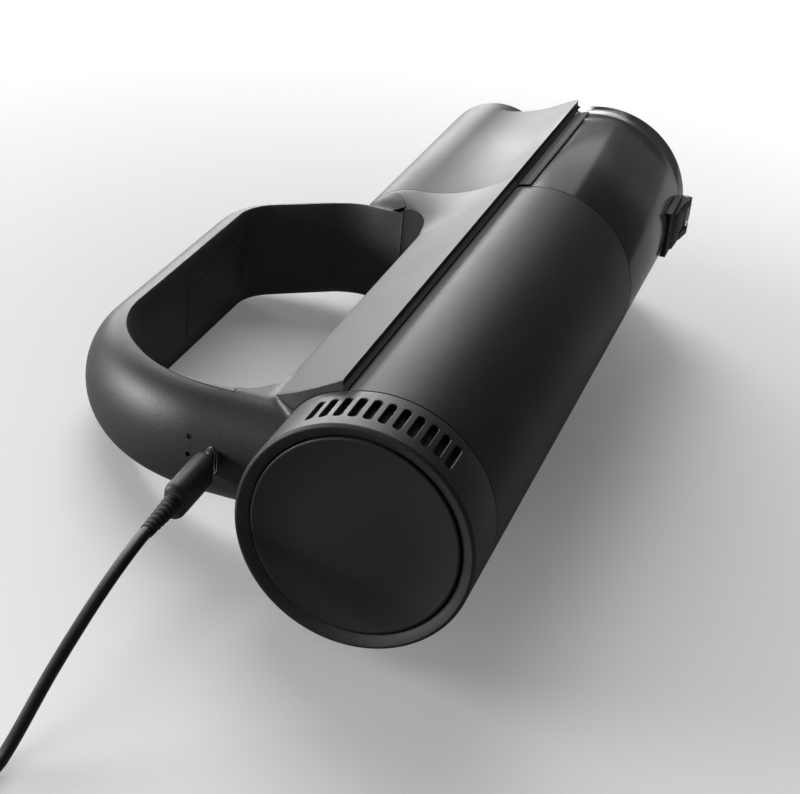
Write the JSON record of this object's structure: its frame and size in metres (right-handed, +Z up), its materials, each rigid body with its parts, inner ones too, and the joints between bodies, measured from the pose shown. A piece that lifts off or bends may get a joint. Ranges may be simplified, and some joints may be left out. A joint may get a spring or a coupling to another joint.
{
  "type": "handheld vacuum",
  "caption": "Cordless handheld vacuum: a barrel with a loop handle and trigger, a suction pipe over a see-through cyclone dust cup with a hinged lid, and a charging lead.",
  "frame": {"origin": "middle of the bounding box in plan, without the charging lead, at the floor the vacuum lies on", "axes": "+X along the barrel axis from the rear disc to the suction end, +Y across the floor towards the handle, +Z up from the floor"},
  "size_m": [0.4898, 0.1525, 0.0731],
  "materials": {
    "shell_black": "fine spark texture, matte",
    "disc_black": "smooth satin",
    "trim_black": "satin",
    "inner_plastic": "plain moulded",
    "smoke": "smoke tinted clear plastic, gloss",
    "rubber": "matt",
    "foam": "open-cell foam",
    "media": "pleated filter felt",
    "steel": "bright",
    "motor_metal": "cast",
    "copper_iron": "laminations and copper winding",
    "cell_wrap": "shrink wrap",
    "circuit": "solder mask",
    "light_lens": "clear light guide",
    "connector": "plated",
    "black_electronic": "moulded"
  },
  "bodies": {
    "main_body": {"barrel_shell": "shell_black", "rear_cap": "shell_black", "rear_disc": "disc_black", "exhaust_foam": "foam", "handle_shell": "shell_black", "handle_liner": "trim_black", "handle_screws": "steel", "trigger_spring": "steel", "trigger_switch": "black_electronic", "release_spring_left": "steel", "release_spring_right": "steel", "usb_socket": "connector", "charge_board": "circuit", "charge_lights": "light_lens", "battery_holder_rear": "inner_plastic", "battery_holder_front": "inner_plastic", "battery_cell_1": "cell_wrap", "battery_cell_2": "cell_wrap", "battery_cell_3": "cell_wrap", "control_board": "circuit", "board_screws": "steel", "motor_can": "motor_metal", "stator_core": "copper_iron", "bearing_rear": "steel", "bearing_front": "steel", "diffuser": "inner_plastic", "fan_shroud": "inner_plastic", "motor_ring": "rubber", "motor_spider": "inner_plastic", "filter_frame": "inner_plastic", "filter_media": "media", "filter_seal": "rubber"},
    "motor_rotor": {"rotor": "steel", "fan_wheel": "motor_metal"},
    "trigger": {"grip_trigger": "trim_black"},
    "release_left": {"release_button_left": "shell_black"},
    "release_right": {"release_button_right": "shell_black"},
    "dust_module": {"dust_cup": "smoke", "cup_rails": "trim_black", "suction_pipe": "shell_black", "cyclone_cage": "inner_plastic", "mesh_sleeve": "steel", "cone_seal": "rubber", "hinge_bracket": "trim_black", "hinge_pin": "steel"},
    "lid": {"cup_lid": "smoke", "lid_seal": "rubber"},
    "charging_lead": {"usb_plug_shell": "connector", "plug_grip": "trim_black", "plug_boot": "rubber", "lead": "rubber", "lead_coil": "rubber", "charger_plug_grip": "trim_black", "charger_plug_shell": "connector"}
  },
  "joints": [
    {"name": "fan_spin", "type": "hinge", "parent": "main_body", "child": "motor_rotor", "pos_m": [-0.008, -0.03563, 0.03808], "axis": [1, 0, 0], "continuous": true},
    {"name": "trigger_press", "type": "slide", "parent": "main_body", "child": "trigger", "axis": [0, 0.9793, -0.2026], "range_m": [0, 0.002], "stiffness_N_per_m": 1500, "deforming": ["trigger_spring"]},
    {"name": "release_left_press", "type": "slide", "parent": "main_body", "child": "release_left", "axis": [0, -0.6251, -0.7805], "range_m": [0, 0.0014], "stiffness_N_per_m": 1500, "deforming": ["release_spring_left"]},
    {"name": "release_right_press", "type": "slide", "parent": "main_body", "child": "release_right", "axis": [0, -0.264, 0.9645], "range_m": [0, 0.0014], "stiffness_N_per_m": 1500, "deforming": ["release_spring_right"]},
    {"name": "dust_module_slide", "type": "slide", "parent": "main_body", "child": "dust_module", "axis": [1, 0, 0], "range_m": [0, 0.12]},
    {"name": "lid_hinge", "type": "hinge", "parent": "dust_module", "child": "lid", "pos_m": [0.1328, -0.07255, 0.04571], "axis": [0, -0.2026, -0.9793], "range_deg": [0, 95]},
    {"name": "charge_plug_slide", "type": "slide", "parent": "main_body", "child": "charging_lead", "axis": [-1, 0, 0], "range_m": [-0.0042, 0.03]}
  ]
}
